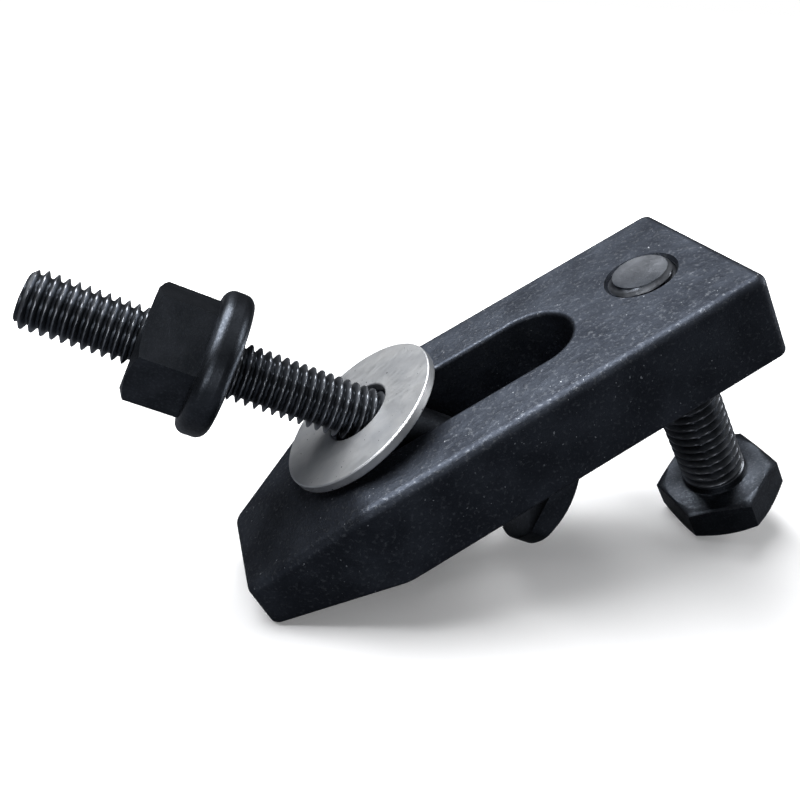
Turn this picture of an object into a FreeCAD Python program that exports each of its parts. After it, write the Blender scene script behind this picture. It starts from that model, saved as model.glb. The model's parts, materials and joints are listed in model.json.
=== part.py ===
import FreeCAD, Part
import math
import os
import Sketcher

# Strap clamp set: a forged slotted strap carried by a jack screw at the heel, with a
# T-bolt leaning through the slot, its collar nut and a penny washer.
#
# Every sub-part is first placed in the strap's own frame: origin on the jack screw's
# axis in the plane of the underside, +X to the heel, +Z out of the top face. One tilt
# then stands the whole set on its nose edge and the rim of the jack screw's head.

OUT = "parts"

# Driving dimensions: millimetres, and degrees where the name says so.
SIZES = {
    # strap
    "strap_width": 30.7,
    "strap_thick": 13.0,
    "heel_reach": 10.2,
    "nose_reach": 67.2,
    "fold_reach": 48.4,
    "nose_width": 17.0,
    "nose_height": 7.15,
    "heel_round": 1.6,
    "nose_round": 2.0,
    "fold_round": 6.0,
    "top_round": 1.3,
    "foot_round": 0.8,
    "slot_width": 12.8,
    "slot_heel": 18.56,
    "slot_nose": 42.7,
    "slot_rim": 0.6,
    "slot_foot": 0.9,
    "screw_sink": 0.4,
    # jack screw, M10 x 1.5
    "screw_major": 9.9,
    "screw_length": 39.8,
    "screw_drop": 26.2,
    "screw_tip": 0.95,
    "head_flats": 16.7,
    "head_height": 5.8,
    "head_face": 15.8,
    "chamfer_angle": 30.0,
    "neck_round": 0.4,
    # T-bolt, M8 x 1.25
    "bolt_major": 7.9,
    "bolt_above": 44.9,
    "bolt_below": 26.9,
    "bolt_tip": 0.9,
    "bolt_head_dia": 18.7,
    "bolt_head_flats": 16.2,
    "bolt_head_height": 3.8,
    "bolt_head_face": 15.4,
    # collar nut, M8
    "nut_flats": 14.3,
    "nut_height": 12.0,
    "nut_face": 13.6,
    "collar_dia": 19.6,
    "collar_height": 4.2,
    "collar_round": 1.5,
    "nut_along": 18.5,
    "nut_turn_angle": 34.9,
    # washer
    "washer_dia": 24.8,
    "washer_hole": 9.7,
    "washer_thick": 1.4,
    "washer_round": 0.25,
    "washer_reach": 4.9,
    "washer_side": 1.9,
    # fits and leans
    "thread_gap": 0.05,
    "seat_gap": 0.02,
    "bolt_lean_angle": 38.62,
    "bolt_slew_angle": 8.44,
    "washer_lean_angle": 13.07,
    "washer_slew_angle": 2.26,
}

MARGIN = 5.0  # how far a cutting outline runs past the metal
NEAR = 0.01  # two positions closer than this are the same

ORIGIN = FreeCAD.Vector(0, 0, 0)
Y_AXIS = FreeCAD.Vector(0, 1, 0)
Z_AXIS = FreeCAD.Vector(0, 0, 1)


def size_sheet(doc):
    """The spreadsheet that drives every sketch and feature."""
    sheet = doc.addObject("Spreadsheet::Sheet", "Sizes")
    for row, (alias, value) in enumerate(SIZES.items(), start=1):
        sheet.set(f"A{row}", alias)
        sheet.set(f"B{row}", str(value))
        sheet.setAlias(f"B{row}", alias)
    doc.recompute()
    return sheet


# ---------------------------------------------------------------- sketch helpers


def new_body(doc, label):
    body = doc.addObject("PartDesign::Body", label)
    body.Label = label
    return body


def new_sketch(body, name, plane):
    """A sketch on one of the body's own origin planes: XY_Plane, XZ_Plane or YZ_Plane."""
    sketch = body.newObject("Sketcher::SketchObject", name)
    base = next(item for item in body.Origin.OriginFeatures if item.Role == plane)
    sketch.AttachmentSupport = (base, [""])
    sketch.MapMode = "FlatFace"
    return sketch


def dimension(sketch, name, constraint, expression):
    """Adds a named constraint whose value follows an expression of the sheet."""
    index = sketch.addConstraint(constraint)
    sketch.renameConstraint(index, name)
    sketch.setExpression(f"Constraints.{name}", expression)


def polygon(sketch, prefix, corners):
    """A closed outline through corners, each an (x, y) pair of expressions."""
    places = []
    for across, up in corners:
        x_value = float(sketch.evalExpression(across))
        y_value = float(sketch.evalExpression(up))
        places.append(FreeCAD.Vector(x_value, y_value, 0))
    count = len(places)
    lines = []
    for i, place in enumerate(places):
        lines.append(sketch.addGeometry(Part.LineSegment(place, places[(i + 1) % count])))
    for i, line in enumerate(lines):
        sketch.addConstraint(Sketcher.Constraint("Coincident", line, 2, lines[(i + 1) % count], 1))
    for i, line in enumerate(lines):
        across = Sketcher.Constraint("DistanceX", -1, 1, line, 1, places[i].x)
        dimension(sketch, f"{prefix}_x{i}", across, corners[i][0])
        up = Sketcher.Constraint("DistanceY", -1, 1, line, 1, places[i].y)
        dimension(sketch, f"{prefix}_y{i}", up, corners[i][1])


def circle(sketch, name, diameter):
    """A circle about the sketch's origin."""
    radius = float(sketch.evalExpression(diameter)) / 2
    ring = sketch.addGeometry(Part.Circle(ORIGIN, Z_AXIS, radius))
    sketch.addConstraint(Sketcher.Constraint("Coincident", ring, 3, -1, 1))
    dimension(sketch, name, Sketcher.Constraint("Diameter", ring, 2 * radius), diameter)


def slot(sketch, heel, nose, width):
    """A round-ended slot on the sketch's X axis, between two end centres."""
    x_heel = float(sketch.evalExpression(heel))
    x_nose = float(sketch.evalExpression(nose))
    radius = float(sketch.evalExpression(width)) / 2
    quarter = math.pi / 2
    heel_centre = FreeCAD.Vector(x_heel, 0, 0)
    nose_centre = FreeCAD.Vector(x_nose, 0, 0)
    heel_arc = sketch.addGeometry(
        Part.ArcOfCircle(Part.Circle(heel_centre, Z_AXIS, radius), -quarter, quarter)
    )
    nose_arc = sketch.addGeometry(
        Part.ArcOfCircle(Part.Circle(nose_centre, Z_AXIS, radius), quarter, 3 * quarter)
    )
    rise = FreeCAD.Vector(0, radius, 0)
    upper = sketch.addGeometry(Part.LineSegment(heel_centre + rise, nose_centre + rise))
    lower = sketch.addGeometry(Part.LineSegment(nose_centre - rise, heel_centre - rise))
    sketch.addConstraint(Sketcher.Constraint("Tangent", heel_arc, 2, upper, 1))
    sketch.addConstraint(Sketcher.Constraint("Tangent", upper, 2, nose_arc, 1))
    sketch.addConstraint(Sketcher.Constraint("Tangent", nose_arc, 2, lower, 1))
    sketch.addConstraint(Sketcher.Constraint("Tangent", lower, 2, heel_arc, 1))
    sketch.addConstraint(Sketcher.Constraint("PointOnObject", heel_arc, 3, -1))
    sketch.addConstraint(Sketcher.Constraint("PointOnObject", nose_arc, 3, -1))
    across = Sketcher.Constraint("Radius", heel_arc, radius)
    dimension(sketch, "slot_radius", across, f"({width}) / 2")
    to_heel = Sketcher.Constraint("DistanceX", -1, 1, heel_arc, 3, x_heel)
    dimension(sketch, "slot_heel_end", to_heel, heel)
    to_nose = Sketcher.Constraint("DistanceX", -1, 1, nose_arc, 3, x_nose)
    dimension(sketch, "slot_nose_end", to_nose, nose)


def hexagon(sketch, flats):
    """A regular hexagon about the origin with one corner on the X axis."""
    sides = 6
    corner = float(sketch.evalExpression(flats)) / 2 / math.cos(math.pi / sides)
    places = []
    for i in range(sides):
        angle = 2 * math.pi * i / sides
        places.append(FreeCAD.Vector(corner * math.cos(angle), corner * math.sin(angle), 0))
    guide = sketch.addGeometry(Part.Circle(ORIGIN, Z_AXIS, corner), True)
    sketch.addConstraint(Sketcher.Constraint("Coincident", guide, 3, -1, 1))
    lines = []
    for i, place in enumerate(places):
        lines.append(sketch.addGeometry(Part.LineSegment(place, places[(i + 1) % sides])))
    for i, line in enumerate(lines):
        after = lines[(i + 1) % sides]
        sketch.addConstraint(Sketcher.Constraint("Coincident", line, 2, after, 1))
        sketch.addConstraint(Sketcher.Constraint("PointOnObject", line, 1, guide))
    for line in lines[1:]:
        sketch.addConstraint(Sketcher.Constraint("Equal", lines[0], line))
    sketch.addConstraint(Sketcher.Constraint("PointOnObject", lines[0], 1, -1))
    across = Sketcher.Constraint("Radius", guide, corner)
    dimension(sketch, "corner_radius", across, f"({flats}) / 2 / cos(30 deg)")


# --------------------------------------------------------------- feature helpers


def pad(body, name, sketch, length, down=False):
    feature = body.newObject("PartDesign::Pad", name)
    feature.Profile = sketch
    feature.Reversed = down
    feature.setExpression("Length", length)
    sketch.Visibility = False
    return feature


def middle_pad(body, name, sketch, length):
    """A pad of equal length to both sides of its sketch."""
    feature = pad(body, name, sketch, length)
    feature.SideType = "Symmetric"
    return feature


def through_pocket(body, name, sketch):
    """Cuts the sketch right through the solid above its plane, and proves that it cut."""
    body.Document.recompute()
    before = body.Shape.Volume
    feature = body.newObject("PartDesign::Pocket", name)
    feature.Profile = sketch
    feature.Type = "ThroughAll"
    feature.SideType = "Symmetric"
    body.Document.recompute()
    assert body.Shape.Volume < before - NEAR, name
    return feature


def turned(body, kind, name, sketch):
    """A Revolution or Groove of the sketch once round the body's Z axis."""
    feature = body.newObject(f"PartDesign::{kind}", name)
    feature.Profile = sketch
    axis = next(item for item in body.Origin.OriginFeatures if item.Role == "Z_Axis")
    feature.ReferenceAxis = (axis, [""])
    feature.Angle = 360
    body.Document.recompute()
    return feature


def edge_names(shape, wanted):
    return [f"Edge{i}" for i, edge in enumerate(shape.Edges, start=1) if wanted(edge)]


def dress(body, kind, name, wanted, size):
    """A Fillet or Chamfer on those edges of the tip that wanted() picks."""
    body.Document.recompute()
    tip = body.Tip
    edges = edge_names(tip.Shape, wanted)
    assert edges, name
    feature = body.newObject(f"PartDesign::{kind}", name)
    feature.Base = (tip, edges)
    feature.setExpression("Radius" if kind == "Fillet" else "Size", size)
    body.Document.recompute()
    return feature


def chamfer_ring(body, name, face_z, outward, face_dia, corner_dia):
    """Turns the corners of a head away by the chamfer angle, outside its flat face.

    face_z is the face's height, outward +1 or -1 along Z, and the rest are expressions.
    """
    sketch = new_sketch(body, f"{name}_profile", "XZ_Plane")
    run = f"(({corner_dia}) / 2 + {MARGIN} - ({face_dia}) / 2)"
    inner = f"({face_dia}) / 2"
    outer = f"({corner_dia}) / 2 + {MARGIN}"
    back = f"({face_z}) - ({outward}) * {run} * tan(Sizes.chamfer_angle * 1 deg)"
    ahead = f"({face_z}) + ({outward}) * {MARGIN}"
    polygon(sketch, "ring", [(inner, face_z), (outer, back), (outer, ahead), (inner, ahead)])
    body.Document.recompute()
    before = body.Shape.Volume
    turned(body, "Groove", name, sketch)
    assert body.Shape.Volume < before - NEAR, name


def is_level(edge, height):
    box = edge.BoundBox
    return abs(box.ZMin - height) < NEAR and abs(box.ZMax - height) < NEAR


def is_upright(edge):
    """A straight edge parallel to Z."""
    box = edge.BoundBox
    return box.XLength < NEAR and box.YLength < NEAR and box.ZLength > NEAR


def is_round(edge, diameter):
    curve = edge.Curve
    return isinstance(curve, Part.Circle) and abs(2 * curve.Radius - diameter) < NEAR


# ------------------------------------------------------------------- the strap


def strap_blank(body):
    """The bar with its nose sloped in side view and tapered in plan."""
    profile = new_sketch(body, "strap_side_view", "XZ_Plane")
    nose = "-Sizes.nose_reach"
    fold = "-Sizes.fold_reach"
    top = "Sizes.strap_thick"
    corners = [
        (nose, "0 mm"),
        ("Sizes.heel_reach", "0 mm"),
        ("Sizes.heel_reach", top),
        (fold, top),
        (nose, "Sizes.nose_height"),
    ]
    polygon(profile, "side", corners)
    middle_pad(body, "strap_bar", profile, "Sizes.strap_width")
    for name, sign in (("far_taper", ""), ("near_taper", "-")):
        plan = new_sketch(body, f"{name}_outline", "XY_Plane")
        past_nose = f"-Sizes.nose_reach - {MARGIN}"
        past_side = f"{sign}(Sizes.strap_width / 2 + {MARGIN})"
        side = f"{sign}Sizes.strap_width / 2"
        corner = f"{sign}Sizes.nose_width / 2"
        outline = [
            (fold, side),
            (nose, corner),
            (past_nose, corner),
            (past_nose, past_side),
            (fold, past_side),
        ]
        polygon(plan, "taper", outline)
        through_pocket(body, name, plan)


def round_strap(body):
    """The forging's rounded corners, fold and outer edges."""
    heel, nose, fold = SIZES["heel_reach"], -SIZES["nose_reach"], -SIZES["fold_reach"]
    top = SIZES["strap_thick"]

    def corner_at(place):
        return lambda edge: is_upright(edge) and abs(edge.BoundBox.XMin - place) < NEAR

    def top_fold(edge):
        box = edge.BoundBox
        return is_level(edge, top) and box.XLength < NEAR and abs(box.XMin - fold) < NEAR

    def top_edge(edge):
        box = edge.BoundBox
        return box.ZMin > SIZES["nose_height"] - NEAR and not crosses(edge)

    def crosses(edge):
        """An edge that only runs across the top, where two of its faces blend."""
        box = edge.BoundBox
        return box.XLength < NEAR and box.XMin > nose + NEAR and box.XMax < heel - NEAR

    dress(body, "Fillet", "heel_corners", corner_at(heel), "Sizes.heel_round")
    dress(body, "Fillet", "nose_corners", corner_at(nose), "Sizes.nose_round")
    dress(body, "Fillet", "side_folds", corner_at(fold), "Sizes.fold_round")
    dress(body, "Fillet", "top_fold", top_fold, "Sizes.fold_round")
    dress(body, "Fillet", "top_edges", top_edge, "Sizes.top_round")
    dress(body, "Fillet", "foot_edges", lambda edge: is_level(edge, 0), "Sizes.foot_round")


def cut_strap(body):
    """The slot for the T-bolt and the hole for the jack screw."""
    outline = new_sketch(body, "slot_outline", "XY_Plane")
    slot(outline, "-Sizes.slot_heel", "-Sizes.slot_nose", "Sizes.slot_width")
    through_pocket(body, "bolt_slot", outline)
    ring = new_sketch(body, "screw_hole_outline", "XY_Plane")
    circle(ring, "hole", "Sizes.screw_major + 2 * Sizes.thread_gap")
    through_pocket(body, "screw_hole", ring)

    top = SIZES["strap_thick"]
    half_slot = SIZES["slot_width"] / 2
    hole = SIZES["screw_major"] + 2 * SIZES["thread_gap"]
    fold = -SIZES["fold_reach"] + SIZES["fold_round"]

    def slot_rim(height):
        def wanted(edge):
            box = edge.BoundBox
            inside = box.YMax < half_slot + NEAR and box.YMin > -half_slot - NEAR
            return is_level(edge, height) and inside and box.XMin > fold - NEAR and box.XMax < -half_slot

        return wanted

    def slot_foot(edge):
        box = edge.BoundBox
        inside = box.YMax < half_slot + NEAR and box.YMin > -half_slot - NEAR
        return is_level(edge, 0) and inside and box.XMax < -half_slot

    def hole_rim(edge):
        return is_round(edge, hole) and (is_level(edge, top) or is_level(edge, 0))

    dress(body, "Chamfer", "hole_sink", hole_rim, "Sizes.screw_sink")
    dress(body, "Chamfer", "slot_foot", slot_foot, "Sizes.slot_foot")
    return slot_rim(top)


def clamp_strap(doc):
    body = new_body(doc, "clamp_strap")
    strap_blank(body)
    round_strap(body)
    rim = cut_strap(body)
    dress(body, "Fillet", "slot_rim", rim, "Sizes.slot_rim")
    return body


# -------------------------------------------------------------- the fasteners


def jack_screw(doc):
    """Hexagon screw with its bearing face at Z = 0 and its thread standing on it."""
    body = new_body(doc, "jack_screw")
    head = new_sketch(body, "head_outline", "XY_Plane")
    hexagon(head, "Sizes.head_flats")
    pad(body, "head", head, "Sizes.head_height", down=True)
    shank = new_sketch(body, "shank_outline", "XY_Plane")
    circle(shank, "shank", "Sizes.screw_major")
    pad(body, "shank", shank, "Sizes.screw_length")
    corners = "Sizes.head_flats / cos(30 deg)"
    chamfer_ring(body, "head_chamfer", "-Sizes.head_height", -1, "Sizes.head_face", corners)
    major = SIZES["screw_major"]
    tip = SIZES["screw_length"]
    neck = lambda edge: is_round(edge, major) and is_level(edge, 0)
    end = lambda edge: is_round(edge, major) and is_level(edge, tip)
    dress(body, "Fillet", "neck", neck, "Sizes.neck_round")
    dress(body, "Chamfer", "tip", end, "Sizes.screw_tip")
    return body


def t_bolt(doc):
    """T-bolt with its origin where it passes the washer, and its thread up along Z."""
    body = new_body(doc, "t_bolt")
    profile = new_sketch(body, "bolt_profile", "XZ_Plane")
    bearing = "-Sizes.bolt_below"
    face = "-Sizes.bolt_below - Sizes.bolt_head_height"
    rim = "Sizes.bolt_head_dia / 2"
    shank = "Sizes.bolt_major / 2"
    corners = [
        ("0 mm", face),
        (rim, face),
        (rim, bearing),
        (shank, bearing),
        (shank, "Sizes.bolt_above"),
        ("0 mm", "Sizes.bolt_above"),
    ]
    polygon(profile, "bolt", corners)
    turned(body, "Revolution", "bolt", profile)
    for name, sign in (("far_flat", ""), ("near_flat", "-")):
        plan = new_sketch(body, f"{name}_outline", "XY_Plane")
        inner = f"{sign}Sizes.bolt_head_flats / 2"
        outer = f"{sign}Sizes.bolt_head_dia"
        left, right = "-Sizes.bolt_head_dia", "Sizes.bolt_head_dia"
        polygon(plan, "flat", [(left, inner), (right, inner), (right, outer), (left, outer)])
        through_pocket(body, name, plan)
    chamfer_ring(body, "head_chamfer", face, -1, "Sizes.bolt_head_face", "Sizes.bolt_head_dia")
    major = SIZES["bolt_major"]
    neck = lambda edge: is_round(edge, major) and is_level(edge, -SIZES["bolt_below"])
    end = lambda edge: is_round(edge, major) and is_level(edge, SIZES["bolt_above"])
    dress(body, "Fillet", "neck", neck, "Sizes.neck_round")
    dress(body, "Chamfer", "tip", end, "Sizes.bolt_tip")
    return body


def collar_nut(doc):
    """Hexagon nut with its collar face at Z = 0."""
    body = new_body(doc, "collar_nut")
    outline = new_sketch(body, "nut_outline", "XY_Plane")
    hexagon(outline, "Sizes.nut_flats")
    pad(body, "hexagon", outline, "Sizes.nut_height")
    ring = new_sketch(body, "collar_outline", "XY_Plane")
    circle(ring, "collar", "Sizes.collar_dia")
    pad(body, "collar", ring, "Sizes.collar_height")
    collar = SIZES["collar_dia"]
    rims = lambda edge: is_round(edge, collar)
    dress(body, "Fillet", "collar_rims", rims, "Sizes.collar_round")
    corners = "Sizes.nut_flats / cos(30 deg)"
    chamfer_ring(body, "end_chamfer", "Sizes.nut_height", 1, "Sizes.nut_face", corners)
    bore = new_sketch(body, "bore_outline", "XY_Plane")
    circle(bore, "bore", "Sizes.bolt_major + 2 * Sizes.thread_gap")
    through_pocket(body, "bore", bore)
    hole = SIZES["bolt_major"] + 2 * SIZES["thread_gap"]
    dress(body, "Chamfer", "bore_ends", lambda edge: is_round(edge, hole), "Sizes.neck_round")
    return body


def washer(doc):
    """Penny washer, half its thickness to each side of Z = 0."""
    body = new_body(doc, "washer")
    ring = new_sketch(body, "washer_outline", "XY_Plane")
    circle(ring, "rim", "Sizes.washer_dia")
    circle(ring, "hole", "Sizes.washer_hole")
    middle_pad(body, "ring", ring, "Sizes.washer_thick")
    upper = SIZES["washer_thick"] / 2
    rounded = lambda edge: is_level(edge, upper) or is_round(edge, SIZES["washer_dia"])
    dress(body, "Fillet", "rims", rounded, "Sizes.washer_round")
    return body


# ------------------------------------------------------------------ placements


def leaning(lean, slew):
    """A unit vector leant by lean degrees to the nose and slew degrees to +Y."""
    lean, slew = math.radians(lean), math.radians(slew)
    return FreeCAD.Vector(
        -math.sin(lean) * math.cos(slew), math.sin(slew), math.cos(lean) * math.cos(slew)
    )


def facing(direction):
    """Turns +Z to direction, with +X kept square to the strap's Y."""
    across = Y_AXIS.cross(direction).normalize()
    return FreeCAD.Rotation(across, direction.cross(across), direction, "ZXY")


def washer_middle():
    """Middle of the washer, resting on the rounded fold in the strap's top."""
    normal = leaning(SIZES["washer_lean_angle"], SIZES["washer_slew_angle"])
    thick, rounding = SIZES["strap_thick"], SIZES["fold_round"]
    slope = math.atan2(thick - SIZES["nose_height"], SIZES["nose_reach"] - SIZES["fold_reach"])
    roll_x = -SIZES["fold_reach"] + rounding * math.tan(slope / 2)
    roll_z = thick - rounding
    foot_x = -SIZES["fold_reach"] + SIZES["washer_reach"]
    side = SIZES["washer_side"]
    chord_end = math.sqrt((SIZES["washer_dia"] / 2) ** 2 - SIZES["washer_reach"] ** 2)
    reach = (rounding + SIZES["seat_gap"]) * math.hypot(normal.x, normal.z)
    rise = normal.x * (roll_x - foot_x) + normal.y * chord_end + reach
    foot = FreeCAD.Vector(foot_x, side, roll_z + rise / normal.z)
    return foot + normal * (SIZES["washer_thick"] / 2)


def standing_tilt():
    """Pitch in degrees at which the nose edge and the head's rim share one floor."""
    edge = SIZES["foot_round"]
    rim = SIZES["head_face"] / 2
    depth = SIZES["screw_drop"] + SIZES["head_height"]
    run = SIZES["nose_reach"] - edge - rim
    drop = depth + edge
    return math.degrees(math.acos(edge / math.hypot(run, drop)) - math.atan2(run, drop))


def place_in_strap(bodies):
    """Every sub-part's place in the strap's own frame."""
    middle = washer_middle()
    bolt_way = leaning(SIZES["bolt_lean_angle"], SIZES["bolt_slew_angle"])
    bolt_turn = facing(bolt_way)
    washer_turn = facing(leaning(SIZES["washer_lean_angle"], SIZES["washer_slew_angle"]))
    flat_to_nose = FreeCAD.Rotation(Z_AXIS, 30)
    nut_turn = bolt_turn.multiply(FreeCAD.Rotation(Z_AXIS, SIZES["nut_turn_angle"]))
    places = {
        "clamp_strap": FreeCAD.Placement(),
        "jack_screw": FreeCAD.Placement(Z_AXIS * -SIZES["screw_drop"], flat_to_nose),
        "washer": FreeCAD.Placement(middle, washer_turn),
        "t_bolt": FreeCAD.Placement(middle, bolt_turn),
        "collar_nut": FreeCAD.Placement(middle + bolt_way * SIZES["nut_along"], nut_turn),
    }
    for body in bodies:
        body.Placement = places[body.Label]


def stand_on_floor(doc, bodies):
    """Tilts the set to rest on the floor, with the origin under the middle of it."""
    tilt = FreeCAD.Placement(ORIGIN, FreeCAD.Rotation(Y_AXIS, -standing_tilt()))
    for body in bodies:
        body.Placement = tilt.multiply(body.Placement)
    doc.recompute()
    box = Part.makeCompound([body.Shape for body in bodies]).optimalBoundingBox(False)
    shift = FreeCAD.Vector(-box.Center.x, -box.Center.y, -box.ZMin)
    lift = FreeCAD.Placement(shift, FreeCAD.Rotation())
    for body in bodies:
        body.Placement = lift.multiply(body.Placement)
    doc.recompute()


def check(doc):
    """Stops if any object is broken or any body's solid isn't sound."""
    for item in doc.Objects:
        assert not {"Invalid", "Error"} & set(item.State), f"{item.Label}: {item.State}"
        if item.TypeId == "PartDesign::Body":
            assert not item.Shape.isNull() and item.Shape.isValid(), item.Label
            assert len(item.Shape.Solids) == 1, item.Label


def main():
    os.makedirs(OUT, exist_ok=True)
    doc = FreeCAD.newDocument("strap_clamp")
    size_sheet(doc)
    makers = (clamp_strap, jack_screw, washer, t_bolt, collar_nut)
    bodies = [make(doc) for make in makers]
    place_in_strap(bodies)
    stand_on_floor(doc, bodies)
    check(doc)
    for body in bodies:
        body.Shape.exportStep(os.path.join(OUT, f"{body.Label}.step"))


main()
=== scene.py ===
import json
import math
import bmesh
import bpy
from bpy.props import FloatProperty, FloatVectorProperty, IntProperty, PointerProperty
from mathutils import Matrix, Vector


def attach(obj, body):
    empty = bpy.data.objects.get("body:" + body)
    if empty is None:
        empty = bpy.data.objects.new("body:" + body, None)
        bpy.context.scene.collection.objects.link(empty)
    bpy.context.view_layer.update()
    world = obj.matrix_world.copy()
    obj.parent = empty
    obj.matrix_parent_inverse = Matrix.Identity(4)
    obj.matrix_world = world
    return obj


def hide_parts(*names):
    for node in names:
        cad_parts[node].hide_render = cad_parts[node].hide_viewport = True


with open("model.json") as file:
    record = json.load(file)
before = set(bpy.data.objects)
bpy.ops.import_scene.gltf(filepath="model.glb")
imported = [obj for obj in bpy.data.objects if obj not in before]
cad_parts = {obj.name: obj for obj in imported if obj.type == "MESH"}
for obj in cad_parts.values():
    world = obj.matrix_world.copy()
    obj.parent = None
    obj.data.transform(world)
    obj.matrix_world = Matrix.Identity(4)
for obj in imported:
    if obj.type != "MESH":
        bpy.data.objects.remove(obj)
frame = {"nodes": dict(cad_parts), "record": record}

bl_info = {
    "name": "Strap Clamp Set",
    "version": (1, 0, 0),
    "blender": (4, 5, 0),
    "location": "3D View > Sidebar > Clamp",
    "description": "Dresses a strap clamp, its jack screw, T-bolt, collar nut and washer",
    "category": "Object",
}

MM = 0.001
THREAD_DEPTH = 0.6134  # of the pitch, from crest to root of an ISO metric thread
FLAT_CREST = 1 / 8  # of the pitch
FLAT_ROOT = 1 / 4  # of the pitch
RUN_IN = 1.2  # mm over which a thread deepens from nothing
RUN_OUT = 0.2  # mm past the tip over which a thread would fade
RINGS_PER_PITCH = 14
ON_AXIS = 1e-6  # stands in for zero where something is divided by a distance from the axis

CHAMFER_DEG = 30  # of a head's corners, from flat
BEARING_SLOPE = 0.35  # of the corners' slope, on the bearing side
EDGE_BREAK = 0.35  # mm off a head's sharp edges
BEARING_INSET = 0.3  # mm from the edge of the bearing circle to its last ring
SHOULDER = 1.0  # mm of flat bearing face round the T-bolt's shank
NECK_FILLET = 0.4  # mm between shank and head
NECK_BEND = 0.3  # of the fillet, where its middle ring lies
TIP_INSET = 0.35  # mm from the tip's edge to its last ring
TIP_CROWN = 0.02  # mm that the tip's middle stands proud
HEAD_TURN_DEG = 30  # turns a flat of the jack screw's head towards the nose
SHARP_DEG = 32  # edges sharper than this are shaded sharp

STRAP_Y = Vector((0, 1, 0))
FLOOR_HALF = 3.0  # metres
LIGHT_TARGET = Vector((0.0, 0.0, 0.02))
SENSOR_WIDTH = 36  # mm


# ------------------------------------------------------------------- settings


def millimetres(name, description, value):
    return FloatProperty(name=name, description=description, default=value, min=0.0)


class JackScrewSizes(bpy.types.PropertyGroup):
    """Sizes of the hexagon screw that carries the heel, in millimetres"""

    major: millimetres("Thread diameter", "Diameter over the thread's crests", 9.9)
    pitch: millimetres("Pitch", "Distance from crest to crest", 1.5)
    length: millimetres("Length", "From the bearing face to the tip", 39.8)
    plain: millimetres("Plain length", "Unthreaded length under the head", 1.2)
    tip: millimetres("Tip chamfer", "Size of the chamfer at the tip", 0.95)
    flats: millimetres("Across flats", "Width of the head across its flats", 16.7)
    height: millimetres("Head height", "Height of the head", 5.8)
    face: millimetres("Face diameter", "Flat circle on the head's end", 15.8)
    bearing: millimetres("Bearing diameter", "Flat circle on the head's bearing side", 16.1)
    drop: millimetres("Drop", "From the strap's underside down to the bearing face", 26.2)


class TBoltSizes(bpy.types.PropertyGroup):
    """Sizes of the T-bolt, in millimetres from where it passes the washer"""

    major: millimetres("Thread diameter", "Diameter over the thread's crests", 7.9)
    pitch: millimetres("Pitch", "Distance from crest to crest", 1.25)
    above: millimetres("Length above", "From the washer to the tip", 44.9)
    below: millimetres("Length below", "From the washer to the head's bearing face", 26.9)
    plain: millimetres("Plain shank", "From the washer down to where the thread ends", 4.0)
    tip: millimetres("Tip chamfer", "Size of the chamfer at the tip", 0.9)
    head: millimetres("Head diameter", "Diameter of the round head", 18.7)
    flats: millimetres("Across flats", "Width of the head across its two flats", 16.2)
    height: millimetres("Head height", "Height of the head", 3.8)
    face: millimetres("Face diameter", "Flat circle on the head's end", 15.4)


class FinishSettings(bpy.types.PropertyGroup):
    """How the metal surfaces look"""

    grain: millimetres("Forging grain", "Size of the strap's scale marks, in millimetres", 0.55)
    scratch: millimetres("Handling marks", "Length of fine marks, in millimetres", 1.6)
    around: IntProperty(name="Segments", description="Facets round a screw", default=96, min=24)


class StageSettings(bpy.types.PropertyGroup):
    """Camera in the strap's frame, from the jack screw's axis, and each light's power"""

    eye: FloatVectorProperty(
        name="Camera place", description="Along, across and above the strap, in millimetres",
        default=(-38.44, -103.71, 77.14),
    )
    right: FloatVectorProperty(
        name="Camera right", description="The camera's right, in the strap's frame",
        default=(0.86173, -0.30575, -0.40488), precision=5,
    )
    ahead: FloatVectorProperty(
        name="Camera ahead", description="The way the camera looks, in the strap's frame",
        default=(0.09608, 0.88192, -0.46151), precision=5,
    )
    lens: FloatProperty(name="Lens", description="Focal length in mm", default=39.896)
    shift_x: FloatProperty(name="Shift X", description="Sideways lens shift", default=-0.05755)
    shift_y: FloatProperty(name="Shift Y", description="Upright lens shift", default=-0.1058)
    key: FloatProperty(name="Top light", description="Overhead softbox in watts", default=4.0)
    rim: FloatProperty(name="Side light", description="Right-hand softbox in watts", default=0.9)
    front: FloatProperty(name="Front light", description="Low front softbox in watts", default=0.6)
    fill: FloatProperty(name="Room light", description="Strength of the pale room", default=0.16)


# ------------------------------------------------------------------ materials


def colour(code):
    """An sRGB hex code as linear red, green, blue and alpha."""
    parts = [int(code[i : i + 2], 16) / 255 for i in (1, 3, 5)]
    return [c / 12.92 if c <= 0.04045 else ((c + 0.055) / 1.055) ** 2.4 for c in parts] + [1.0]


def add(tree, kind, links=None, **values):
    """Adds a node. links names input sockets and what feeds them; values set properties."""
    node = tree.nodes.new(kind)
    for key, value in values.items():
        setattr(node, key, value)
    for key, value in (links or {}).items():
        if isinstance(value, bpy.types.NodeSocket):
            tree.links.new(value, node.inputs[key])
        else:
            node.inputs[key].default_value = value
    return node


def new_material(name):
    material = bpy.data.materials.new(name)
    material.use_nodes = True
    tree = material.node_tree
    shader = tree.nodes["Principled BSDF"]
    place = add(tree, "ShaderNodeTexCoord").outputs["Object"]
    return material, tree, shader, place


def noise(tree, place, size_mm, detail=4.0, rough=0.55):
    """A noise whose features are about size_mm across."""
    links = {"Vector": place, "Scale": 1 / (size_mm * MM), "Detail": detail, "Roughness": rough}
    return add(tree, "ShaderNodeTexNoise", links).outputs["Fac"]


def spread(tree, value, low, high, to_low=0.0, to_high=1.0):
    """Maps low..high to to_low..to_high, and holds what lies outside."""
    links = {
        "Value": value, "From Min": low, "From Max": high, "To Min": to_low, "To Max": to_high,
    }
    return add(tree, "ShaderNodeMapRange", links).outputs["Result"]


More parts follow.
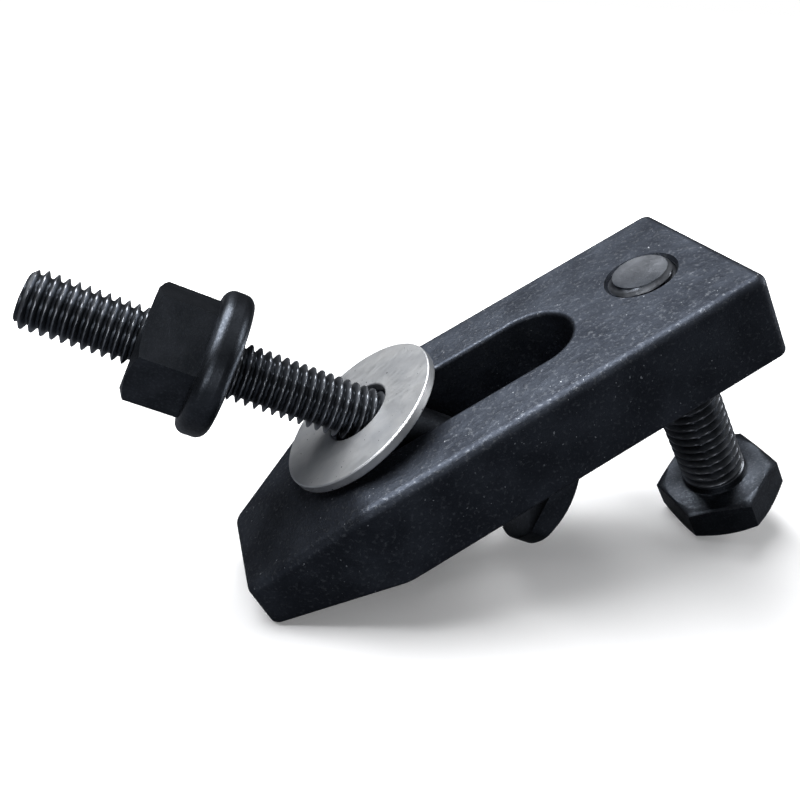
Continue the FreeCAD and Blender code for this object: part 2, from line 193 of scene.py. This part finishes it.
def blend(tree, factor, first, second):
    """Mixes two colours, each a hex code or a socket."""
    node = add(tree, "ShaderNodeMix", data_type="RGBA")
    for slot, value in ((6, first), (7, second)):
        if isinstance(value, str):
            node.inputs[slot].default_value = colour(value)
        else:
            tree.links.new(value, node.inputs[slot])
    tree.links.new(factor, node.inputs[0])
    return node.outputs[2]


def bump(tree, height, depth_mm, strength, under=None):
    links = {"Height": height, "Distance": depth_mm * MM, "Strength": strength}
    if under is not None:
        links["Normal"] = under
    return add(tree, "ShaderNodeBump", links).outputs["Normal"]


def forged_oxide(finish):
    """Drop-forged steel, tumbled and black-oxidised: a grainy blue-black with rubbed specks."""
    material, tree, shader, place = new_material("Forged steel black oxide")
    grain = noise(tree, place, finish.grain, detail=6.0, rough=0.62)
    patch = noise(tree, place, size_mm=7.0, detail=3.0)
    pits = noise(tree, place, size_mm=1.7, detail=2.0, rough=0.4)
    speck = noise(tree, place, size_mm=0.42, detail=1.0, rough=0.3)
    tone = blend(tree, spread(tree, patch, low=0.35, high=0.65), "#33373F", "#444952")
    tone = blend(tree, spread(tree, grain, low=0.54, high=0.72, to_high=0.6), tone, "#7A7E84")
    tone = blend(tree, spread(tree, speck, low=0.775, high=0.81), tone, "#A9ADB3")
    tree.links.new(tone, shader.inputs["Base Color"])
    shader.inputs["Metallic"].default_value = 1.0
    rough = spread(tree, grain, low=0.3, high=0.7, to_low=0.62, to_high=0.42)
    tree.links.new(rough, shader.inputs["Roughness"])
    scaly = bump(tree, grain, depth_mm=0.07, strength=0.75)
    pitted = bump(tree, pits, depth_mm=0.16, strength=0.55, under=scaly)
    swell = noise(tree, place, size_mm=9.0, detail=1.0)
    wavy = bump(tree, swell, depth_mm=0.5, strength=0.35, under=pitted)
    tree.links.new(wavy, shader.inputs["Normal"])
    return material


def black_oxide():
    """Machined steel with a thin black oxide, and a painted highlight, patchy, on the thread
    crests.
    """
    material, tree, shader, place = new_material("Machined steel black oxide")
    fine = noise(tree, place, size_mm=0.35, detail=5.0, rough=0.6)
    patch = noise(tree, place, size_mm=3.5, detail=3.0)
    crest = add(tree, "ShaderNodeAttribute", attribute_name="crest").outputs["Fac"]
    tone = blend(tree, spread(tree, patch, low=0.35, high=0.65), "#35393F", "#464A51")
    tone = blend(tree, spread(tree, fine, low=0.5, high=0.72, to_high=0.5), tone, "#666B72")
    # painted highlight: the thread crests are coloured pale grey, more strongly in some patches
    crest_highlight_amount = spread(tree, patch, low=0.3, high=0.7, to_low=0.35, to_high=0.85)
    painted_crest_highlight = add(tree, "ShaderNodeMath", {0: crest, 1: crest_highlight_amount}, operation="MULTIPLY").outputs[0]
    tone = blend(tree, painted_crest_highlight, tone, "#9DA1A8")
    tree.links.new(tone, shader.inputs["Base Color"])
    shader.inputs["Metallic"].default_value = 1.0
    rough = spread(tree, fine, low=0.3, high=0.7, to_low=0.44, to_high=0.30)
    tree.links.new(rough, shader.inputs["Roughness"])
    tree.links.new(bump(tree, fine, depth_mm=0.025, strength=0.5), shader.inputs["Normal"])
    return material


def satin_zinc(finish):
    """Barrelled zinc plate on a stamped washer: pale, satin, with fine handling marks."""
    material, tree, shader, place = new_material("Satin zinc plate")
    stretch = add(tree, "ShaderNodeMapping", {"Vector": place, "Scale": (1.0, 6.0, 1.0)})
    marks = noise(tree, stretch.outputs["Vector"], finish.scratch, detail=6.0, rough=0.7)
    patch = noise(tree, place, size_mm=4.0, detail=2.0)
    speck = noise(tree, place, size_mm=0.45, detail=1.0, rough=0.3)
    tone = blend(tree, spread(tree, patch, low=0.35, high=0.65), "#D3D6DA", "#E6E8EA")
    tone = blend(tree, spread(tree, marks, low=0.55, high=0.75, to_high=0.35), tone, "#B4B8BD")
    tone = blend(tree, spread(tree, speck, low=0.75, high=0.79), tone, "#6E7278")
    tree.links.new(tone, shader.inputs["Base Color"])
    shader.inputs["Metallic"].default_value = 1.0
    rough = spread(tree, marks, low=0.3, high=0.7, to_low=0.38, to_high=0.5)
    tree.links.new(rough, shader.inputs["Roughness"])
    tree.links.new(bump(tree, marks, depth_mm=0.02, strength=0.4), shader.inputs["Normal"])
    return material


def oxide():
    """The screws' and nut's black oxide, made the first time it's wanted."""
    return bpy.data.materials.get("Machined steel black oxide") or black_oxide()


# ---------------------------------------------------------------- thread tree


def thread_tree():
    """Geometry nodes that cut a right-hand thread into a turned blank standing along Z."""
    tree = bpy.data.node_groups.new("Helical thread", "GeometryNodeTree")
    face = tree.interface
    face.new_socket("Geometry", in_out="INPUT", socket_type="NodeSocketGeometry")
    for name in ("Crest radius", "Depth", "Pitch", "Start", "End"):
        face.new_socket(name, in_out="INPUT", socket_type="NodeSocketFloat")
    face.new_socket("Material", in_out="INPUT", socket_type="NodeSocketMaterial")
    face.new_socket("Geometry", in_out="OUTPUT", socket_type="NodeSocketGeometry")
    given = add(tree, "NodeGroupInput").outputs

    def maths(operation, first, second=0.0):
        links = {0: first, 1: second}
        return add(tree, "ShaderNodeMath", links, operation=operation).outputs[0]

    place = add(tree, "GeometryNodeInputPosition").outputs[0]
    parts = add(tree, "ShaderNodeSeparateXYZ", {0: place}).outputs
    turn = maths("DIVIDE", maths("ARCTAN2", parts[1], parts[0]), 2 * math.pi)
    phase = maths("FRACT", maths("SUBTRACT", maths("DIVIDE", parts[2], given["Pitch"]), turn))
    off_crest = maths("ABSOLUTE", maths("SUBTRACT", maths("MULTIPLY", phase, 2.0), 1.0))
    groove = spread(tree, off_crest, low=FLAT_CREST, high=1 - FLAT_ROOT)
    begun = spread(tree, maths("SUBTRACT", parts[2], given["Start"]), low=0.0, high=RUN_IN * MM)
    ended = spread(tree, maths("SUBTRACT", given["End"], parts[2]), low=-RUN_OUT * MM, high=0.0)
    cut = maths("MULTIPLY", maths("MULTIPLY", groove, begun), ended)
    root = maths("SUBTRACT", given["Crest radius"], maths("MULTIPLY", cut, given["Depth"]))
    across = maths("SQRT", maths("ADD", maths("MULTIPLY", parts[0], parts[0]),
                                 maths("MULTIPLY", parts[1], parts[1])))
    scale = maths("DIVIDE", maths("MINIMUM", across, root), maths("MAXIMUM", across, ON_AXIS))
    threaded = maths("GREATER_THAN", parts[2], given["Start"])
    scale = maths("ADD", maths("MULTIPLY", scale, threaded), maths("SUBTRACT", 1.0, threaded))
    moved = add(tree, "ShaderNodeCombineXYZ", {
        0: maths("MULTIPLY", parts[0], scale), 1: maths("MULTIPLY", parts[1], scale), 2: parts[2],
    })
    crest = maths("MULTIPLY", maths("SUBTRACT", 1.0, cut), threaded)
    stored = add(tree, "GeometryNodeStoreNamedAttribute", {
        "Geometry": given["Geometry"], "Name": "crest", "Value": crest,
    }, data_type="FLOAT", domain="POINT")
    shaped = add(tree, "GeometryNodeSetPosition", {
        "Geometry": stored.outputs[0], "Position": moved.outputs[0],
    })
    real = add(tree, "GeometryNodeRealizeInstances", {"Geometry": shaped.outputs[0]})
    painted = add(tree, "GeometryNodeSetMaterial", {
        "Geometry": real.outputs[0], "Material": given["Material"],
    })
    add(tree, "NodeGroupOutput", {"Geometry": painted.outputs[0]})
    return tree


def cut_thread(blank, material, values):
    """Runs the thread tree on the blank and returns the finished plain mesh."""
    tree = bpy.data.node_groups.get("Helical thread") or thread_tree()
    modifier = blank.modifiers.new("Thread", "NODES")
    modifier.node_group = tree
    wanted = dict(values, Material=material)
    for item in tree.interface.items_tree:
        if item.in_out == "INPUT" and item.name in wanted:
            modifier[item.identifier] = wanted[item.name]
    bpy.context.view_layer.update()
    shown = blank.evaluated_get(bpy.context.evaluated_depsgraph_get())
    mesh = bpy.data.meshes.new_from_object(shown)
    blank.modifiers.clear()
    return mesh


# ----------------------------------------------------------------- turned work


def hexagon_reach(flats):
    """Distance from the axis to a hexagon's edge, by angle, with a corner on X."""
    sector = math.pi / 3

    def reach(angle):
        return flats / 2 / math.cos(angle % sector - sector / 2)

    return reach


def flatted_reach(diameter, flats):
    """Distance from the axis to the edge of a disc with two flats, square to Y."""

    def reach(angle):
        return min(diameter / 2, flats / 2 / max(abs(math.sin(angle)), ON_AXIS))

    return reach


def turned(name, rings, around):
    """A closed solid from rings of (radius, height), each a number or a function of angle."""
    shape = bmesh.new()

    def at(value, angle):
        return value(angle) if callable(value) else value

    loops = []
    for radius, height in rings:
        loop = []
        for i in range(around):
            angle = 2 * math.pi * i / around
            r, z = at(radius, angle) * MM, at(height, angle) * MM
            loop.append(shape.verts.new((r * math.cos(angle), r * math.sin(angle), z)))
        loops.append(loop)
    for low, high in zip(loops, loops[1:]):
        for i in range(around):
            j = (i + 1) % around
            shape.faces.new((low[i], low[j], high[j], high[i]))
    shape.faces.new(list(reversed(loops[0])))
    shape.faces.new(loops[-1])
    bmesh.ops.recalc_face_normals(shape, faces=shape.faces)
    mesh = bpy.data.meshes.new(name)
    shape.to_mesh(mesh)
    shape.free()
    piece = bpy.data.objects.new(name, mesh)
    bpy.context.collection.objects.link(piece)
    return piece


def head_rings(reach, face_r, end_z, bearing_z, bearing_r):
    """Rings of a head from its flat end up to its bearing face, with chamfered corners."""
    slope = math.tan(math.radians(CHAMFER_DEG))

    def corner(radius):
        """Height of the end's chamfer at that radius."""
        return end_z + (radius - face_r) * slope

    def bearing(radius):
        """Height of the bearing side at that radius."""
        return bearing_z - max(radius - bearing_r, 0) * slope * BEARING_SLOPE

    return [
        (face_r, end_z),
        (lambda a: reach(a) - EDGE_BREAK / 2, lambda a: corner(reach(a) - EDGE_BREAK / 2)),
        (reach, lambda a: corner(reach(a)) + EDGE_BREAK / 2),
        (reach, lambda a: bearing(reach(a)) - EDGE_BREAK / 2),
        (lambda a: reach(a) - EDGE_BREAK, lambda a: bearing(reach(a) - EDGE_BREAK)),
        (bearing_r - BEARING_INSET, bearing_z),
    ]


def shank_rings(radius, low, high, tip, pitch, plain_to):
    """Rings of a shank with a neck and a tip chamfer, close together where it's threaded."""
    rings = [
        (radius + NECK_FILLET, low),
        (radius + NECK_FILLET * NECK_BEND, low + NECK_FILLET * NECK_BEND),
        (radius, low + NECK_FILLET),
        (radius, plain_to),
    ]
    step = pitch / RINGS_PER_PITCH
    for i in range(1, int((high - plain_to) / step)):
        z = plain_to + i * step
        rings.append((min(radius, radius - tip + (high - z)), z))
    rings.append((radius - tip, high))
    rings.append((radius - tip - TIP_INSET, high + TIP_CROWN))
    return rings


def thread_values(sizes, start, end):
    """What the thread tree is given for a screw, in metres."""
    return {
        "Crest radius": sizes.major / 2 * MM,
        "Depth": THREAD_DEPTH * sizes.pitch * MM,
        "Pitch": sizes.pitch * MM,
        "Start": start * MM,
        "End": end * MM,
    }


def finish_piece(blank, mesh, place, name, node, body):
    mesh.transform(place)
    mesh.name = name
    mesh.set_sharp_from_angle(angle=math.radians(SHARP_DEG))
    blank.data = mesh
    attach(blank, body)
    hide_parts(node)


def record_joint(name):
    return next(joint for joint in frame["record"]["behaviour"]["joints"] if joint["name"] == name)


def strap_axes():
    """The strap's X, Y and Z in the row frame, and its origin on the jack screw's axis."""
    up = Vector(record_joint("jack_travel")["axis"])
    sizes = bpy.context.scene.jack_screw_sizes
    foot = next(m for m in frame["record"]["mounts"] if m["name"] == "jack_foot")
    origin = Vector(foot["pos_m"]) + up * ((sizes.height + sizes.drop) * MM)
    return STRAP_Y.cross(up), STRAP_Y, up, origin


def standing(x_way, z_way, place):
    """The matrix that stands local Z along z_way at place."""
    y_way = z_way.cross(x_way)
    turn = Matrix((x_way, y_way, z_way)).transposed().to_4x4()
    return Matrix.Translation(place) @ turn


# ------------------------------------------------------------------ operators


class CLAMP_OT_jack_screw(bpy.types.Operator):
    """Builds the hexagon jack screw with its thread"""

    bl_idname = "clamp.jack_screw"
    bl_label = "Jack screw"

    def execute(self, context):
        sizes = context.scene.jack_screw_sizes
        finish = context.scene.clamp_finish
        across, _, up, origin = strap_axes()
        radius = sizes.major / 2
        reach = hexagon_reach(sizes.flats)
        rings = head_rings(reach, sizes.face / 2, -sizes.height, 0.0, sizes.bearing / 2)
        rings += shank_rings(radius, 0.0, sizes.length, sizes.tip, sizes.pitch, sizes.plain)
        blank = turned("jack_screw_dressed", rings, finish.around)
        mesh = cut_thread(blank, oxide(), thread_values(sizes, sizes.plain, sizes.length))
        place = origin - up * sizes.drop * MM
        stand = standing(across, up, place) @ Matrix.Rotation(math.radians(HEAD_TURN_DEG), 4, "Z")
        finish_piece(blank, mesh, stand, "jack_screw_dressed", "jack_screw", "jack")
        return {"FINISHED"}


class CLAMP_OT_t_bolt(bpy.types.Operator):
    """Builds the T-bolt with its flatted head and its thread"""

    bl_idname = "clamp.t_bolt"
    bl_label = "T-bolt"

    def execute(self, context):
        sizes = context.scene.t_bolt_sizes
        finish = context.scene.clamp_finish
        along = Vector(record_joint("nut_travel")["axis"])
        middle = Vector(record_joint("bolt_lean")["pos_m"])
        radius = sizes.major / 2
        reach = flatted_reach(sizes.head, sizes.flats)
        end = -sizes.below - sizes.height
        # a bearing circle wider than the head leaves that side flat, so its last ring is set here
        rings = head_rings(reach, sizes.face / 2, end, -sizes.below, sizes.head)
        rings[-1] = (radius + SHOULDER, -sizes.below)
        rings += shank_rings(
            radius, -sizes.below, sizes.above, sizes.tip, sizes.pitch, -sizes.plain,
        )
        blank = turned("t_bolt_dressed", rings, finish.around)
        mesh = cut_thread(blank, oxide(), thread_values(sizes, -sizes.plain, sizes.above))
        across = STRAP_Y.cross(along).normalized()
        stand = standing(across, along, middle)
        finish_piece(blank, mesh, stand, "t_bolt_dressed", "t_bolt", "bolt")
        return {"FINISHED"}


class CLAMP_OT_finishes(bpy.types.Operator):
    """Gives the strap, nut and washer their metal finishes"""

    bl_idname = "clamp.finishes"
    bl_label = "Strap, nut and washer"

    def execute(self, context):
        finish = context.scene.clamp_finish
        looks = {
            "clamp_strap": (forged_oxide(finish), "forged_black"),
            "collar_nut": (oxide(), "black_oxide"),
            "washer": (satin_zinc(finish), "zinc"),
        }
        for node, (material, slot) in looks.items():
            piece = frame["nodes"][node]
            piece.data.materials.clear()
            piece.data.materials.append(material)
        return {"FINISHED"}


def softbox(name, place, size, watts):
    """A rectangular area light at place that faces the clamp."""
    light = bpy.data.lights.new(name, "AREA")
    light.shape = "RECTANGLE"
    light.size, light.size_y = size
    light.energy = watts
    lamp = bpy.data.objects.new(name, light)
    lamp.location = place
    lamp.rotation_euler = (LIGHT_TARGET - Vector(place)).to_track_quat("-Z", "Y").to_euler()
    bpy.context.collection.objects.link(lamp)
    return lamp


def pale_floor():
    """A matt white floor that a painted glow makes paper white, weaker near the clamp as a painted
    shade, with the shadow left in it.
    """
    material, tree, shader, place = new_material("White paper floor")
    tree.nodes.remove(shader)
    mottle = noise(tree, place, size_mm=60.0, detail=1.0)
    tone = blend(tree, mottle, "#F4F5F7", "#F7F7F8")
    matt = add(tree, "ShaderNodeBsdfDiffuse", {"Color": tone}).outputs[0]
    grey = add(tree, "ShaderNodeBsdfDiffuse", {"Color": colour("#55575B")}).outputs[0]
    away = add(tree, "ShaderNodeVectorMath", {0: place}, operation="LENGTH").outputs["Value"]
    # metres from the middle: the painted glow is weak inside, a painted shade where the shadow
    # lies, and full outside, plain paper
    strength = spread(tree, away, low=0.08, high=0.2, to_low=0.1)
    paper = {"Color": colour("#FFFFFF"), "Strength": strength}
    # painted light: the floor glows white to the camera though it is no lamp
    glow = add(tree, "ShaderNodeEmission", paper).outputs[0]
    lit = add(tree, "ShaderNodeAddShader", {0: matt, 1: glow}).outputs[0]
    seen = add(tree, "ShaderNodeLightPath").outputs["Is Camera Ray"]
    mixed = add(tree, "ShaderNodeMixShader", {0: seen, 1: grey, 2: lit}).outputs[0]
    tree.links.new(mixed, tree.nodes["Material Output"].inputs["Surface"])
    return material


def pale_room(strength):
    """A white room to the camera, and a soft dim one to the metal."""
    world = bpy.data.worlds.new("Pale room")
    bpy.context.scene.world = world
    world.use_nodes = True
    tree = world.node_tree
    out = tree.nodes["World Output"]
    way = add(tree, "ShaderNodeTexCoord").outputs["Generated"]
    height = add(tree, "ShaderNodeSeparateXYZ", {0: way}).outputs[2]
    tone = blend(tree, spread(tree, height, low=0.1, high=0.9), "#5A606C", "#FFFFFF")
    dim = add(tree, "ShaderNodeBackground", {"Color": tone, "Strength": strength}).outputs[0]
    bright = {"Color": colour("#FFFFFF"), "Strength": 1.0}
    white = add(tree, "ShaderNodeBackground", bright).outputs[0]
    seen = add(tree, "ShaderNodeLightPath").outputs["Is Camera Ray"]
    mixed = add(tree, "ShaderNodeMixShader", {0: seen, 1: dim, 2: white}).outputs[0]
    tree.links.new(mixed, out.inputs["Surface"])


class CLAMP_OT_stage(bpy.types.Operator):
    """Sets the floor, lights and camera"""

    bl_idname = "clamp.stage"
    bl_label = "Stage"

    def execute(self, context):
        scene = context.scene
        settings = scene.clamp_stage
        mesh = bpy.data.meshes.new("floor")
        signs = ((-1, -1), (1, -1), (1, 1), (-1, 1))
        corners = [(x * FLOOR_HALF, y * FLOOR_HALF, 0) for x, y in signs]
        mesh.from_pydata(corners, [], [(0, 1, 2, 3)])
        floor = bpy.data.objects.new("floor", mesh)
        context.collection.objects.link(floor)
        mesh.materials.append(pale_floor())
        top = softbox("top_softbox", (-0.14, 0.10, 0.42), (0.44, 0.34), settings.key)
        side = softbox("side_softbox", (0.42, -0.05, 0.22), (0.22, 0.3), settings.rim)
        front = softbox("front_softbox", (-0.25, -0.45, 0.12), (0.3, 0.2), settings.front)
        pale_room(settings.fill)

        x_way, y_way, z_way, origin = strap_axes()
        basis = Matrix((x_way, y_way, z_way)).transposed()
        right = basis @ Vector(settings.right)
        ahead = basis @ Vector(settings.ahead)
        lens = bpy.data.cameras.new("camera")
        lens.sensor_width = SENSOR_WIDTH
        lens.lens = settings.lens
        lens.shift_x, lens.shift_y = settings.shift_x, settings.shift_y
        lens.clip_start, lens.clip_end = 0.01, 10
        camera = bpy.data.objects.new("camera", lens)
        context.collection.objects.link(camera)
        turn = Matrix((right, right.cross(ahead), -ahead)).transposed().to_4x4()
        eye = origin + basis @ (Vector(settings.eye) * MM)
        camera.matrix_world = Matrix.Translation(eye) @ turn
        scene.camera = camera
        scene.view_settings.view_transform = "Standard"
        return {"FINISHED"}


class CLAMP_PT_panel(bpy.types.Panel):
    """The clamp's sizes and build steps"""

    bl_label = "Strap clamp set"
    bl_idname = "CLAMP_PT_panel"
    bl_space_type = "VIEW_3D"
    bl_region_type = "UI"
    bl_category = "Clamp"

    def draw(self, context):
        scene = context.scene
        steps = (
            ("clamp.jack_screw", scene.jack_screw_sizes),
            ("clamp.t_bolt", scene.t_bolt_sizes),
            ("clamp.finishes", scene.clamp_finish),
            ("clamp.stage", scene.clamp_stage),
        )
        for step, settings in steps:
            box = self.layout.box()
            for key in settings.__annotations__:
                box.prop(settings, key)
            box.operator(step)


GROUPS = {
    "jack_screw_sizes": JackScrewSizes,
    "t_bolt_sizes": TBoltSizes,
    "clamp_finish": FinishSettings,
    "clamp_stage": StageSettings,
}
CLASSES = (
    *GROUPS.values(), CLAMP_OT_jack_screw, CLAMP_OT_t_bolt, CLAMP_OT_finishes, CLAMP_OT_stage,
    CLAMP_PT_panel,
)


def register():
    for item in CLASSES:
        bpy.utils.register_class(item)
    for name, group in GROUPS.items():
        setattr(bpy.types.Scene, name, PointerProperty(type=group))


def unregister():
    for name in GROUPS:
        delattr(bpy.types.Scene, name)
    for item in reversed(CLASSES):
        bpy.utils.unregister_class(item)


def main():
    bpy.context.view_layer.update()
    register()
    bpy.ops.clamp.jack_screw()
    bpy.ops.clamp.t_bolt()
    bpy.ops.clamp.finishes()
    bpy.ops.clamp.stage()


if __name__ == "__main__":
    main()
